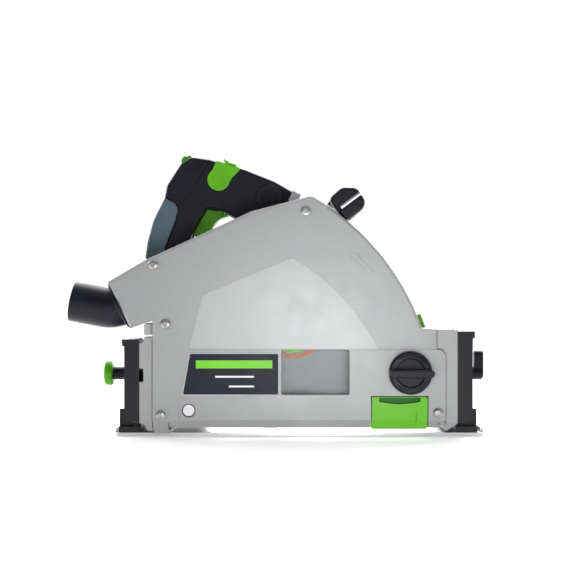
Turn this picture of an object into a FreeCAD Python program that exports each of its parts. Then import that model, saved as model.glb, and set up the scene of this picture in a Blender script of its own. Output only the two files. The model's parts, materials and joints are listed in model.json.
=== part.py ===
"""Track plunge saw, built as separate named parts in one shared frame (millimetres).

+X is the cutting direction, -Y the blade side and +Z up. The origin is the middle of the sole.
Most bodies are drawn in a local frame whose y = 0 is the plane of the blade.
"""
import FreeCAD, Part
import math
import os
from types import SimpleNamespace
from FreeCAD import Placement, Rotation, Vector

doc = FreeCAD.newDocument("plunge_saw")
NODES = {}

# ---------------------------------------------------------------- sizes

DRIVING = {
    "plate_length": 331.0, "plate_width": 150.0, "plate_thickness": 3.5, "edge_gap": 2.5,
    "groove_width": 18.5, "groove_depth": 4.4, "channel_height": 8.0, "cam_pin": 3.0,
    "blade_radius": 80.0, "blade_thickness": 1.8, "blade_bore": 10.0, "cut_depth": 55.0,
    "arm_length": 120.0, "swing": 40.4, "pivot_x": -97.5, "pin_radius": 5.0, "running_fit": 0.05,
    "rim_radius": 217.0, "guard_near": 15.0, "guard_far": 13.0, "wall": 2.8,
    "tilt_clearance": 47.0, "slot_radius": 72.0, "bolt_radius": 3.0, "slide_gap": 0.4,
    "segment_wall": 7.0, "motor_radius": 35.0, "motor_length": 95.0, "gear_near": 13.5,
    "gear_middle": 34.0, "gear_far": 45.0, "module": 1.0, "spindle_teeth": 32.0,
    "pinion_teeth": 12.0, "handle_near": 31.0, "handle_width": 34.0, "port_radius": 18.0,
    "port_wall": 4.5, "port_length": 37.1, "collar_radius": 22.5, "duct_y": 7.5,
    "knob_radius": 18.8, "knob_height": 18.0, "clamp_knob_radius": 10.9, "scale_radius": 204.0,
    "scale_width": 10.0, "spindle_radius": 7.45, "shaft_radius": 4.0,
}
DERIVED = {
    "blade_y": "-(plate_width / 2 + edge_gap)",
    "pivot_z": "blade_radius - cut_depth",
    "blade_x": "pivot_x + arm_length * cos(swing * 1deg)",
    "blade_z": "pivot_z + arm_length * sin(swing * 1deg)",
    "gear_distance": "module * (spindle_teeth + pinion_teeth) / 2",
    "motor_far": "gear_far + motor_length",
    "handle_far": "handle_near + handle_width",
    "handle_mid": "handle_near + handle_width / 2",
    "inner_near": "guard_near - wall",
    "back_near": "guard_far - 3",
}

sheet = doc.addObject("Spreadsheet::Sheet", "sizes")
for row, (alias, value) in enumerate([*DRIVING.items(), *DERIVED.items()], 1):
    sheet.set(f"A{row}", alias)
    sheet.set(f"B{row}", f"={value}" if alias in DERIVED else str(value))
    sheet.setAlias(f"B{row}", alias)
doc.recompute()
S = SimpleNamespace(**{alias: float(sheet.get(alias)) for alias in [*DRIVING, *DERIVED]})

# ---------------------------------------------------------------- outlines


def polar(centre, radius, angle):
    """The point at a radius and an angle in degrees, anticlockwise from +X."""
    turn = math.radians(angle)
    return (centre[0] + radius * math.cos(turn), centre[1] + radius * math.sin(turn))


PIVOT = (S.pivot_x, S.pivot_z)
SPINDLE = (S.blade_x, S.blade_z)
MOTOR = polar(SPINDLE, S.gear_distance, 90 + S.swing)
TILT = (0.0, 0.0)


def rounded(before, corner, after, radius):
    """Where a rounded corner starts, its middle and its end."""
    at, one, two = Vector(*corner, 0), Vector(*before, 0), Vector(*after, 0)
    way_in, way_out = (one - at).normalize(), (two - at).normalize()
    half = way_in.getAngle(way_out) / 2
    reach = radius / math.tan(half)
    middle = (way_in + way_out).normalize() * (radius / math.sin(half) - radius)
    return at + way_in * reach, at + middle, at + way_out * reach


def outline(items):
    """A closed outline of (x, z) corners, (x, z, radius) rounded corners and ((x, z) on the way,
    (x, z) at the end) arcs."""
    ends = [item[1] if isinstance(item[0], tuple) else item[:2] for item in items]
    stops = []
    curves = []
    for i, item in enumerate(items):
        here = Vector(*ends[i], 0)
        if len(item) == 3:
            first, middle, last = rounded(ends[i - 1], ends[i], ends[(i + 1) % len(ends)], item[2])
            curves.append(Part.Arc(first, middle, last))
            stops.append((first, last))
        else:
            stops.append((here, here))
    for i, item in enumerate(items):
        start, end = stops[i - 1][1], stops[i][0]
        if isinstance(item[0], tuple):
            curves.append(Part.Arc(start, Vector(*item[0], 0), end))
        elif (start - end).Length > 1e-6:
            curves.append(Part.LineSegment(start, end))
    return curves


def circle(centre, radius):
    return [Part.Circle(Vector(*centre, 0), Vector(0, 0, 1), radius)]


def box(x0, z0, x1, z1, radius=0):
    corners = [(x0, z0), (x1, z0), (x1, z1), (x0, z1)]
    return outline([(*c, radius) if radius else c for c in corners])


def sector(centre, r0, r1, a0, a1):
    mid = (a0 + a1) / 2
    return outline([
        (polar(centre, r0, mid), polar(centre, r0, a0)), polar(centre, r1, a0),
        (polar(centre, r1, mid), polar(centre, r1, a1)), polar(centre, r0, a1),
    ])


def arc_slot(centre, radius, half, a0, a1):
    """A slot that follows an arc and has round ends."""
    mid, cap = (a0 + a1) / 2, math.degrees(half / radius)
    return outline([
        (polar(centre, radius, a0 - cap), polar(centre, radius + half, a0)),
        (polar(centre, radius + half, mid), polar(centre, radius + half, a1)),
        (polar(centre, radius, a1 + cap), polar(centre, radius - half, a1)),
        (polar(centre, radius - half, mid), polar(centre, radius - half, a0)),
    ])


def capsule(one, two, half):
    """A straight bar between two points, with round ends."""
    along = math.degrees(math.atan2(two[1] - one[1], two[0] - one[0]))
    return outline([
        (polar(one, half, along + 180), polar(one, half, along - 90)), polar(two, half, along - 90),
        (polar(two, half, along), polar(two, half, along + 90)), polar(one, half, along + 90),
    ])


def inset(curves, amount):
    """The same outline moved inwards."""
    ring = Part.Wire(Part.sortEdges([c.toShape() for c in curves])[0])
    wire = Part.Face(ring).makeOffset2D(-amount)
    moved = []
    for edge in wire.Edges:
        start, end = (v.Point for v in (edge.firstVertex(True), edge.lastVertex(True)))
        if isinstance(edge.Curve, Part.Line):
            moved.append(Part.LineSegment(start, end))
        else:
            middle = edge.valueAt((edge.FirstParameter + edge.LastParameter) / 2)
            moved.append(Part.Arc(start, middle, end))
    return moved


def gear_outline(centre, teeth, turn, slack=0.07):
    """Stub involute teeth at 20 degrees, thinned a little so that the pair runs free."""
    pitch = S.module * teeth / 2
    base, tip, root = pitch * math.cos(math.radians(20)), pitch + 0.8 * S.module, pitch - S.module
    inv = lambda r: math.tan(math.acos(min(1, base / r))) - math.acos(min(1, base / r))
    half = math.degrees(math.pi / 2 / teeth - slack / pitch + inv(pitch))
    radii = [max(base, root) + (tip - max(base, root)) * k / 3 for k in range(4)]
    items = []
    for tooth in range(int(teeth)):
        middle = turn + 360 / teeth * tooth
        flank = [(root, half)] + [(r, half - math.degrees(inv(r))) for r in radii]
        items += [polar(centre, r, middle - a) for r, a in flank]
        items += [polar(centre, r, middle + a) for r, a in reversed(flank)]
    return outline(items)


# ---------------------------------------------------------------- features


def new_body(name, y="blade_y"):
    body = doc.addObject("PartDesign::Body", name)
    body.Label = name
    body.setExpression("Placement.Base.y", f"sizes.{y}" if y else "0 mm")
    return body


def text(value):
    """A size as an expression: names of sizes get their sheet."""
    words = str(value).replace("(", "( ").replace(")", " )").split()
    return " ".join(f"sizes.{w}" if w in vars(S) else w for w in words)


def sketch(body, plane, loops, start):
    drawing = body.newObject("Sketcher::SketchObject", f"{body.Name}_outline")
    side = next(f for f in body.Origin.OriginFeatures if f.Role == f"{plane}_Plane")
    drawing.AttachmentSupport = [(side, "")]
    drawing.MapMode = "FlatFace"
    sign = "-1" if plane == "XZ" else "1"
    drawing.setExpression("AttachmentOffset.Base.z", f"{sign} * ( {text(start)} )")
    for loop in loops:
        drawing.addGeometry(loop)
    return drawing


def feature(kind, body, plane, loops, start, end):
    made = body.newObject(f"PartDesign::{kind}", f"{body.Name}_{kind.lower()}")
    made.Profile = sketch(body, plane, loops, start)
    made.setExpression("Length", f"( {text(end)} ) - ( {text(start)} )")
    made.Reversed = (plane == "XZ") == (kind == "Pad")
    body.Tip = made
    return made


def pad(body, plane, loops, start, end):
    return feature("Pad", body, plane, loops, start, end)


def pocket(body, plane, loops, start, end):
    return feature("Pocket", body, plane, loops, start, end)


def slab(name, loops, start, end, plane="XZ", y="blade_y"):
    """A body with one pad: most parts start as this."""
    body = new_body(name, y)
    pad(body, plane, loops, start, end)
    return body


def turned(name, profile, base, axis):
    """A body turned about its own axis. The profile is (radius, height) points."""
    body = doc.addObject("PartDesign::Body", name)
    body.Label = name
    spin = body.newObject("PartDesign::Revolution", f"{name}_turn")
    spin.Profile = sketch(body, "XZ", [outline(profile)], "0")
    spin.ReferenceAxis = (spin.Profile[0], ["V_Axis"])
    spin.Angle = 360
    body.Tip = spin
    body.Placement = Placement(Vector(*base), Rotation(Vector(0, 0, 1), Vector(*axis)))
    return body


def edge_ids(body, keep):
    doc.recompute()
    return [f"Edge{i}" for i, e in enumerate(body.Tip.Shape.Edges, 1) if keep(e.BoundBox, e)]


def soften(kind, body, amount, keep):
    """A fillet or a chamfer on the edges that keep() picks."""
    names, before = edge_ids(body, keep), body.Tip
    made = body.newObject(f"PartDesign::{kind}", f"{body.Name}_{kind.lower()}")
    made.Base = (before, names)
    setattr(made, "Radius" if kind == "Fillet" else "Size", amount)
    body.Tip = made
    return made


def flat_at(y, low=-1e3, high=1e3):
    """Edges that lie in the plane y and between two heights."""
    return lambda b, e: abs(b.YMin - y) < 1e-4 and abs(b.YMax - y) < 1e-4 and (
        b.ZMin >= low and b.ZMax <= high)


def node(name, shape):
    shape.Label = name
    NODES[name] = shape
    return shape


def join(kind, name, pieces):
    made = doc.addObject(f"Part::{kind}", f"{name}_{kind.lower()}")
    if kind == "Cut":
        made.Base, made.Tool = pieces
    elif kind == "Compound":
        made.Links = pieces
    else:
        made.Shapes = pieces
    return node(name, made)


def rod(name, radius, length, base, axis):
    made = doc.addObject("Part::Cylinder", name)
    made.setExpression("Radius", text(radius))
    made.setExpression("Height", text(length))
    made.Placement = Placement(Vector(*base), Rotation(Vector(0, 0, 1), Vector(*axis)))
    return made


def at(point, y):
    """A point of the head or saw unit in the shared frame."""
    return (point[0], S.blade_y + y, point[1])


def screw(name, base, axis, head=4.6, shank=1.9, length=12.0, height=2.4):
    """A domed screw with a six-lobed recess: base is under the head, axis points out of it."""
    body = turned(name, [
        (0, -length), (shank, -length), (shank, 0), (head, 0), (head, height * 0.35),
        ((head * 0.72, height * 0.86), (0, height)),
    ], base, axis)
    lobes = []
    for k in range(6):
        lobes += [(polar(TILT, 1.7, 60 * k - 30), polar(TILT, 2.0, 60 * k - 12)),
                  (polar(TILT, 2.35, 60 * k), polar(TILT, 2.0, 60 * k + 12))]
    pocket(body, "XY", [outline(lobes)], height * 0.3, height * 1.2)
    return body


# ---------------------------------------------------------------- base plate and segments

HALF = S.plate_length / 2
SIDE = S.plate_width / 2
GROOVE_Y = SIDE - 35.5
CAM_X = HALF - 11.5
CAM_Y = GROOVE_Y + S.groove_width / 2 + 4.2


def base_plate():
    body = slab("base_plate", [box(-HALF, -SIDE, HALF, SIDE, 6)], 0, "plate_thickness", "XY", None)
    half = S.groove_width / 2
    pad(body, "XY", [box(-HALF, GROOVE_Y - half - 3.5, HALF, GROOVE_Y + half + 10)], 3,
        "channel_height")
    pad(body, "XY", [box(-HALF + 6, SIDE - 3.2, HALF - 6, SIDE)], 3, 9)
    for x in (-1, 1):
        ends = sorted((x * (HALF - 3.2), x * HALF))
        pad(body, "XY", [box(ends[0], -SIDE + 8, ends[1], SIDE - 6)], 3, 7)
        ribs = sorted((x * 80, x * 83))
        pad(body, "XY", [box(ribs[0], S.blade_y + 57, ribs[1], GROOVE_Y - half)], 3, 6)
    for y in (56, 88):
        pad(body, "XY", [box(-118, S.blade_y + y, 118, S.blade_y + y + 3)], 3, 6)
    pocket(body, "XY", [box(-HALF - 1, GROOVE_Y - half, HALF + 1, GROOVE_Y + half)], -1,
           "groove_depth")
    for x in (-CAM_X, CAM_X):
        pocket(body, "XY", [circle((x, CAM_Y), 5.6)], -1, "groove_depth")
        pocket(body, "XY", [circle((x, CAM_Y), S.cam_pin + S.running_fit)], 3,
               "channel_height + 1")
    node("base_plate", body)


def guide_cam(name, x):
    body = slab(name, [circle((0, 0), S.cam_pin)], 0.9, "channel_height + 1", "XY", None)
    pad(body, "XY", [circle((0, 0.8), 4.2)], 0.6, 3.9)
    grips = [outline([(polar(TILT, 7.2, 30 * k - 15), polar(TILT, 8, 30 * k - 8)) if i == 0 else
                      (polar(TILT, 8.2, 30 * k), polar(TILT, 8, 30 * k + 8))
                      for k in range(12) for i in range(2)])]
    pad(body, "XY", grips, "channel_height + 0.4", "channel_height + 5")
    body.setExpression("Placement.Base.y", f"{CAM_Y} mm")
    body.Placement.Base.x = x
    node(name, body)


SEGMENT_INNER = 138.9
SEGMENT_REAR = 141.3
BOLT_ANGLE = 47.0
GUIDE_RADIUS = 40.0
GUIDE_ANGLE = 40.0


def segment(name, side, inner, radius):
    """One fixed quadrant: a wall with two curved slots, a rim, a foot and gussets."""
    near = -12.5
    wall = sorted((side * inner, side * (inner + S.segment_wall)))
    rim = sorted((side * (inner + S.segment_wall - 1), side * (inner + 15)))
    foot = sorted((side * (inner + S.segment_wall - 1), side * (inner + 20)))
    top = math.sqrt(radius ** 2 - near ** 2)
    floor = S.plate_thickness
    body = slab(name, [outline([
        (S.edge_gap + 0.1, floor), (84, floor), (polar(TILT, radius, 14)),
        (polar(TILT, radius, 55), (near, top)), (near, 15.5), (S.edge_gap + 0.1, 9),
    ])], wall[0], wall[1], "YZ")
    lean = math.degrees(math.asin(near / radius))
    pad(body, "YZ", [sector(TILT, radius - 6, radius, 16, 90 - lean)], *rim)
    pad(body, "YZ", [box(S.edge_gap + 0.1, floor, 84, 9)], *foot)
    flange = sorted((side * (inner + S.segment_wall - 1), side * (inner + 13)))
    pad(body, "YZ", [box(near, 15.5, near + 1.1, top - 2)], *flange)
    for y in (8, 66):
        pad(body, "YZ", [box(y, 8, y + 4, 24)], *foot)
    bolt = S.bolt_radius + S.slide_gap
    pocket(body, "YZ", [
        arc_slot(TILT, S.slot_radius, bolt, BOLT_ANGLE - 1.5, BOLT_ANGLE + 47.5)], *wall)
    pocket(body, "YZ", [
        arc_slot(TILT, GUIDE_RADIUS, 3, GUIDE_ANGLE - 1.5, GUIDE_ANGLE + 47.5)], *wall)
    drill = doc.addObject("Part::Compound", f"{name}_drill")
    drill.Links = [
        rod(f"{name}_hole{y}", 2, 12, (side * (inner + 14), S.blade_y + y, 2), (0, 0, 1))
        for y in (26, 50)]
    return join("Cut", name, [body, drill])


def base_parts():
    base_plate()
    plate = NODES.pop("base_plate")
    drill = doc.addObject("Part::Compound", "foot_holes")
    drill.Links = [
        rod(f"foot_hole{side}{y}", 2, 12, (side * (inner + 14), S.blade_y + y, 1.5), (0, 0, 1))
        for side, inner in ((-1, SEGMENT_REAR), (1, SEGMENT_INNER)) for y in (26, 50)]
    join("Cut", "base_plate", [plate, drill])
    segment("front_segment", 1, SEGMENT_INNER, 95)
    segment("rear_segment", -1, SEGMENT_REAR, 88)
    join("Compound", "segment_screws", [
        screw(f"foot_screw{side}{y}", (side * (inner + 14), S.blade_y + y, 9), (0, 0, 1),
              4, 1.95, 7, 2.2)
        for side, inner in ((-1, SEGMENT_REAR), (1, SEGMENT_INNER)) for y in (26, 50)])
    face = SEGMENT_INNER + S.segment_wall
    node("angle_scale", slab("angle_scale", [sector(TILT, 82, 88.6, 42, 96)], face, face + 0.8,
                             "YZ"))
    guide_cam("front_guide_cam", CAM_X)
    guide_cam("rear_guide_cam", -CAM_X)


# ---------------------------------------------------------------- guard head

NEAR = -S.guard_near
COLLAR = (-158.6, 117.5)
DUCT_WAY = (-0.900, -0.436)
SCREWS = [(-128.2, 152.6), (-117.5, 100.7), (-121.9, 20.9), (5.1, 199.5), (121.2, 22.8)]
KNOB = (96.5, 58.3)
SPLINTER = (63.1, 112.0, 8.0, 37.0)
WINDOW = (-16.1, 38.9, 43.4, 78.1)


def on_rim(radius, x=None, z=None):
    """The point of an arc about the pivot at a given x or a given z."""
    if x is None:
        return (PIVOT[0] + math.sqrt(radius ** 2 - (z - PIVOT[1]) ** 2), z)
    return (x, PIVOT[1] + math.sqrt(radius ** 2 - (x - PIVOT[0]) ** 2))


def guard_outline(seam=0.0):
    """The guard's side view, pulled back by a seam where it meets the carriers."""
    rim = S.rim_radius
    front, rear = 128.4 - seam, -129.7 + seam
    return outline([
        (-168.4, 137.7), (-134.9, 157.2), (-42.5, 199.6), (5, 211.8),
        ((9.9, 212.5), on_rim(rim, x=13.5)),
        (polar(PIVOT, rim, 40), on_rim(rim, z=97)), (120.5 - seam, 96),
        (120.5 - seam, 78.9 - seam), (125 - seam, 78.9 - seam, 3), (front, 74), (front, 16.3),
        (123.9, 9.3), (-108, 9.3, 2), (-115.5, 3.2), (rear, 3.2), (rear, 104), (-148.9, 97.3),
    ])


def guard_cover():
    """The near half of the guard: a shell with a window, an exhaust hole and an open slot."""
    body = slab("guard_shell", [guard_outline(0.5)], NEAR, "back_near")
    steep = math.tan(math.radians(S.tilt_clearance))
    height = lambda y: 0.3 - y * steep
    depth = lambda z: (0.3 - z) / steep
    soften("Chamfer", body, 2.0, lambda b, e: flat_at(NEAR, 20, 250)(b, e) and (
        b.ZMax > 140 or (b.XMax < 110 and b.ZMin > 96)))
    pocket(body, "XZ", [inset(guard_outline(0.5), S.wall)], f"{NEAR} + wall", "back_near")
    lip = [(-13, 9.4), (-6, 9.4), (-6, 12), (-10, 15.6), (-13, 15.6)]
    toe = [(-13, 3.3), (5, 3.3), (5, 22), (-13, 22)]
    for x0, x1, loop in ((-115, 62, lip), (113, 122, lip), (-129, -115.5, toe)):
        pad(body, "YZ", [outline(loop)], x0, x1)
    bevel = body.newObject("PartDesign::Pocket", "guard_bevel")
    bevel.Profile = sketch(body, "YZ", [outline([
        (NEAR - 1, height(NEAR - 1)), (NEAR - 1, -2), (depth(-2), -2)])], -110)
    bevel.Type = 1
    bevel.Midplane = True
    body.Tip = bevel
    bosses = [circle(c, 4.6) for c in SCREWS]
    pad(body, "XZ", bosses, f"{NEAR} + 1", "back_near")
    pocket(body, "XZ", [circle(c, 1.95) for c in SCREWS], NEAR - 1, "back_near")
    pocket(body, "XY", [box(-88, -5.2, 111, S.guard_far + 2)], 0, 14)
    pocket(body, "XY", [box(-131, 0, -114, S.guard_far + 2)], 0, 4.2)
    pocket(body, "XZ", [box(*WINDOW, 1.5)], NEAR - 1, "0")
    x0, x1, z0, z1 = SPLINTER
    pocket(body, "XZ", [box(x0 - 0.6, -1, x1 + 0.6, z1 + 0.6)], NEAR - 1, -3)
    pocket(body, "XZ", [circle(PIVOT, 5.86), circle(KNOB, 4 + S.running_fit)], NEAR - 1, -2)
    inner, outer = (43.5, 116.6), (60.9, 131.8)
    pocket(body, "XZ", [outline([
        (-97.3, 78.6), (-85.3, 125.8), (-6.6, 158.6), (inner, (68.4, 78.6))])],
        NEAR - 1, f"{NEAR} + 0.8")
    pocket(body, "XZ", [outline([
        (68.4, 78.6), (inner, (-6.6, 158.6)), (21.2, 169.2), (outer, (85.6, 94.4)),
        (119, 94.4), (119, 78.6)])], NEAR - 1, f"{NEAR} + 0.4")
    arrow = [(44.7, 162.9), (52.2, 163.6), (51.2, 160.6), (65, 146.8), (61.8, 143.2),
             (48.2, 157.2), (44.9, 156.2)]
    pocket(body, "XZ", [outline(arrow), inset(outline(arrow), 0.55)], NEAR - 1,
           f"{NEAR} + 0.45")
    pocket(body, "XZ", [box(-62.4, 9, -61.6, 22), box(-106.4, 9, -105.6, 36)], NEAR - 1,
           f"{NEAR} + 0.6")
    hole = rod("duct_hole_near", "port_radius + 0.5", 30,
               at((COLLAR[0] - 12 * DUCT_WAY[0], COLLAR[1] - 12 * DUCT_WAY[1]), S.duct_y),
               (DUCT_WAY[0], 0, DUCT_WAY[1]))
    join("Cut", "guard_cover", [body, hole])


def duct_loop():
    return outline([
        (-168.4, 137.7), (-134.9, 157.2), (-118, 164.9), (-118, 112), (-129.7, 104),
        (-148.9, 97.3),
    ])


def guard_back():
    """The far wall, with the curved opening that the spindle swings through."""
    body = slab("back_wall", [guard_outline()], "back_near", "guard_far")
    pocket(body, "XZ", [arc_slot(PIVOT, S.arm_length, 16, -1.5, S.swing + 1.5)], "back_near",
           "guard_far + 1")
    pocket(body, "XZ", [circle(PIVOT, S.pin_radius + 0.02)], "back_near", "guard_far + 1")
    pocket(body, "XZ", [outline([(-160, 129), (-136, 148), (-122, 152), (-122, 114),
                                 (-132, 107)])], "back_near", "guard_far + 1")
    pocket(body, "XY", [box(-88, 0, 111, S.guard_far + 2)], 0, 14)
    pocket(body, "XY", [box(-131, 0, -114, S.guard_far + 2)], 0, 4.2)
    hole = rod("duct_hole_wall", "port_radius + 0.5", 30,
               at((COLLAR[0] - 5.6 * DUCT_WAY[0], COLLAR[1] - 5.6 * DUCT_WAY[1]), S.duct_y),
               (DUCT_WAY[0], 0, DUCT_WAY[1]))
    join("Cut", "guard_back", [body, hole])


def duct():
    """The rear bulge of the dust duct behind the far wall, and the black collar ring."""
    far = S.duct_y + S.collar_radius
    body = slab("duct_shell", [duct_loop()], "guard_far", far)
    soften("Fillet", body, 6, flat_at(far))
    pocket(body, "XZ", [inset(duct_loop(), S.wall)], "guard_far", far - S.wall)
    hole = rod("duct_hole_far", "port_radius + 0.5", 30,
               at((COLLAR[0] - 12 * DUCT_WAY[0], COLLAR[1] - 12 * DUCT_WAY[1]), S.duct_y),
               (DUCT_WAY[0], 0, DUCT_WAY[1]))
    join("Cut", "duct_housing", [body, hole])
    fit = S.port_radius + S.running_fit
    node("duct_collar", turned("duct_collar", [
        (fit, 0.1), (S.collar_radius - 0.6, 0.1), (S.collar_radius, 0.7),
        (S.collar_radius, 2.4), (S.collar_radius - 0.8, 3.2), (fit + 0.5, 3.2),
        (fit + 0.5, 1.3), (fit, 0.9)], at(COLLAR, S.duct_y),
        (DUCT_WAY[0], 0, DUCT_WAY[1])))


def dust_port():
    """A swivelling elbow: a tube swept along a bent line, with a stepped end."""
    body = new_body("dust_port")
    body.Placement = Placement(Vector(COLLAR[0], 0, COLLAR[1]), Rotation(Vector(0, 0, 1), Vector(
        DUCT_WAY[0], 0, DUCT_WAY[1])))
    body.setExpression("Placement.Base.y", "sizes.blade_y + sizes.duct_y")
    bend, radius = math.radians(36.6), 24.0
    start, corner = -5.0, 8.85
    reach = radius * math.tan(bend / 2)
    side = -1 if (body.Placement.Rotation.multVec(Vector(1, 0, 0))).z > 0 else 1
    first, last = corner - reach, S.port_length - reach
    path = body.newObject("Sketcher::SketchObject", "port_path")
    plane = next(f for f in body.Origin.OriginFeatures if f.Role == "XZ_Plane")
    path.AttachmentSupport, path.MapMode = [(plane, "")], "FlatFace"
    turn_end = (-side * radius * (1 - math.cos(bend)), first + radius * math.sin(bend))
    way = (-side * math.sin(bend), math.cos(bend))
    middle = (-side * radius * (1 - math.cos(bend / 2)), first + radius * math.sin(bend / 2))
    path.addGeometry([
        Part.LineSegment(Vector(0, start, 0), Vector(0, first, 0)),
        Part.Arc(Vector(0, first, 0), Vector(*middle, 0), Vector(*turn_end, 0)),
        Part.LineSegment(Vector(*turn_end, 0), Vector(
            turn_end[0] + way[0] * last, turn_end[1] + way[1] * last, 0)),
    ])
    for kind, radius_now in (("AdditivePipe", S.port_radius),
                             ("SubtractivePipe", S.port_radius - S.port_wall)):
        ring = body.newObject("Sketcher::SketchObject", f"port_{kind.lower()}_ring")
        floor = next(f for f in body.Origin.OriginFeatures if f.Role == "XY_Plane")
        ring.AttachmentSupport, ring.MapMode = [(floor, "")], "FlatFace"
        ring.AttachmentOffset = Placement(Vector(0, 0, start), Rotation())
        ring.addGeometry(circle(TILT, radius_now))
        pipe = body.newObject(f"PartDesign::{kind}", f"port_{kind.lower()}")
        pipe.Profile, pipe.Spine = ring, path
        body.Tip = pipe
    node("dust_port", body)


def carrier_block(name, loop):
    """A tilting block: the side view and the end view cut from one another."""
    low = 13.0 * math.tan(math.radians(S.tilt_clearance)) + 0.3
    side = slab(f"{name}_side", [loop], -13, 68)
    end = slab(f"{name}_end", [outline([
        (-13, low), (-5.5, 6.2), (62, 6.2, 4), (68, 30), (66, 71), (polar(TILT, 96.96, 70),
                                                                   (-13, 96.09))])], -150, 150,
               "YZ")
    both = doc.addObject("Part::MultiCommon", f"{name}_block")
    both.Shapes = [side, end]
    return both


def carriers():
    bolt = polar(TILT, S.slot_radius, BOLT_ANGLE)
    guide = polar(TILT, GUIDE_RADIUS, GUIDE_ANGLE)
    shapes = {
        "front_carrier": (1, 128.4, 138.5, [
            (120.5, 78.9), (125, 78.9, 3), (128.4, 74), (128.4, 16.3), (128.6, 4.4), (138.5, 13.6),
            (138.5, 96, 4), (120.5, 96)]),
        "rear_carrier": (-1, 129.7, 140.9, [
            (-129.7, 3.2), (-134, 3.2), (-136.6, 13), (-140.9, 13.6), (-140.9, 50), (-137.4, 50),
            (-137.4, 61.6), (-140.9, 61.6), (-140.9, 84), (-136.6, 84), (-136.6, 89),
            (-129.7, 89)]),
    }
    for name, (side, inner, outer, loop) in shapes.items():
        block = carrier_block(name, outline(loop))
        pin = rod(f"{name}_pin", 2.6, outer - inner + 4, (side * (inner + 2),
                  S.blade_y + guide[0], guide[1]), (side, 0, 0))
        whole = doc.addObject("Part::MultiFuse", f"{name}_whole")
        whole.Shapes = [block, pin]
        hole = rod(f"{name}_hole", "bolt_radius + running_fit", 40,
                   (side * 110, S.blade_y + bolt[0], bolt[1]), (side, 0, 0))
        join("Cut", name, [whole, hole])


def pivot_parts():
    node("pivot_pin", slab("pivot_pin", [circle(PIVOT, S.pin_radius)], -13.5, 68))
    body = slab("pivot_bracket", [
        outline([(-129.7, 8), (PIVOT[0], PIVOT[1] - 13), (polar(PIVOT, 13, 0),
                 (PIVOT[0], PIVOT[1] + 13)), (-129.7, 46)])], 61, 68)
    pocket(body, "XZ", [circle(PIVOT, S.pin_radius)], 60, 69)
    node("pivot_bracket", body)
    helix = doc.addObject("Part::Helix", "spring_path")
    helix.Pitch, helix.Height, helix.Radius = 2.2, 11, 8
    helix.Placement = Placement(Vector(*at(PIVOT, 59)), Rotation(Vector(1, 0, 0), 90))
    wire = doc.addObject("Part::Circle", "spring_wire")
    wire.Radius = 0.9
    wire.Placement = Placement(Vector(PIVOT[0] + 8, S.blade_y + 59, PIVOT[1]), Rotation())
    sweep = doc.addObject("Part::Sweep", "spring_sweep")
    sweep.Sections, sweep.Spine = [wire], (helix, [])
    sweep.Solid, sweep.Frenet = True, True
    node("plunge_spring", sweep)


BAR_TURN = 38.0
BAR_MIDDLE = (42.3, 208.2)


def front_handle():
    """A bar across the saw on the rim of the guard, hollowed where the rear handle swings."""
    spin = lambda u, w: polar(polar(BAR_MIDDLE, u, BAR_TURN), w, BAR_TURN + 90)
    loop = outline([(*spin(u, w), r) for u, w, r in (
        (-11.5, -12.5, 4), (13, -13.5, 9), (14.5, 5, 8), (4, 13.5, 8), (-11.5, 12.5, 5))])
    body = slab("front_bar", [loop], -8, 112)
    soften("Fillet", body, 2.5, lambda b, e: flat_at(-8)(b, e) or flat_at(112)(b, e))
    doc.recompute()
    pocket(body, "XZ", [circle(PIVOT, S.rim_radius)], -9, 14)
    pocket(body, "XZ", [circle(PIVOT, S.rim_radius + 8)], 13, 113)
    pocket(body, "XZ", [circle(PIVOT, S.rim_radius + 16.5)], 27.5, 68.6)
    one, two = (35.4, 202.8), (54.8, 217.1)
    pocket(body, "XZ", [capsule(one, two, 2.5)], -9, -3.4)
    node("front_handle", body)
    turn = math.degrees(math.atan2(two[1] - one[1], two[0] - one[0]))
    key = doc.addObject("PartDesign::Body", "hex_key")
    pad(key, "YZ", [outline([polar(TILT, 2.25, 60 * k) for k in range(6)])], 1, 22.5)
    key.Placement = Placement(Vector(*at(one, -6)), Rotation(Vector(0, 1, 0), -turn))
    node("hex_key", key)


def small_head_parts():
    node("sight_window", slab("sight_window", [
        box(WINDOW[0] + 0.1, WINDOW[1] + 0.1, WINDOW[2] - 0.1, WINDOW[3] - 0.1, 1.4)],
        f"{NEAR} + 0.5", f"{NEAR} + 2.5"))
    node("label_plate", slab("label_plate", [outline([
        (-96.7, 75.5, 1.5), (-18.1, 75.5, 1.5), (-18.1, 38.3, 1.5), (-103.3, 38.3, 1.5)])],
        f"{NEAR} - 0.4", NEAR))
    node("rear_post", slab("rear_post", [box(-137, 91, -129.8, 101, 1)], -10, 10))
    join("Compound", "cover_screws", [
        screw(f"cover_screw{i}", at(c, NEAR), (0, -1, 0), length=20)
        for i, c in enumerate(SCREWS)])
    node("depth_scale", slab("depth_scale", [sector(
        PIVOT, S.scale_radius, S.scale_radius + S.scale_width, 17.5, 60)], "guard_far",
        "guard_far + 4"))
    node("depth_stop", slab("depth_stop", [sector(
        PIVOT, S.scale_radius - 1, S.rim_radius + 6.5, 18.1, 22.1)], "guard_far + 4.3", 26))


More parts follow.
